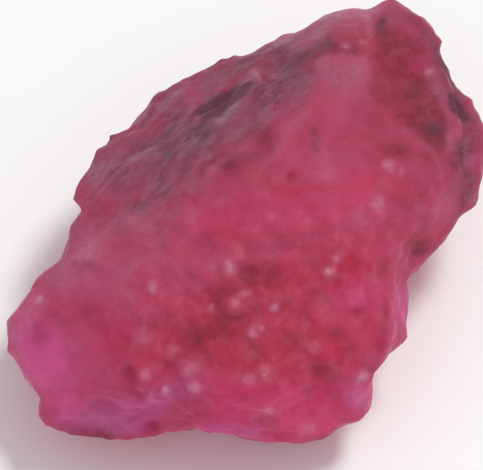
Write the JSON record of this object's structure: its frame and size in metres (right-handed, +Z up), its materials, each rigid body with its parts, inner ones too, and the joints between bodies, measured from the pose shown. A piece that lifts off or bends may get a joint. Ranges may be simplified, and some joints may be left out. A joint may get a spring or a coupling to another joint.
{
  "type": "rough ruby",
  "caption": "Uncut lump of cloudy pink-red ruby with broken, granular faces and a grey schist-coated side, lying on a flat fracture.",
  "frame": {"origin": "middle of the box round the stone, on the plane it lies on", "axes": "+X along the stone's longest extent, towards its broad peak end; +Z up from the flat base it lies on; the best face looks up and towards -X, -Y"},
  "size_m": [0.0286, 0.0196, 0.0115],
  "materials": {
    "ruby": "cloudy translucent crystal, satin fracture surface, with a grey mica schist film on one side"
  },
  "bodies": {
    "root": {"rough_ruby": "ruby"}
  },
  "joints": []
}
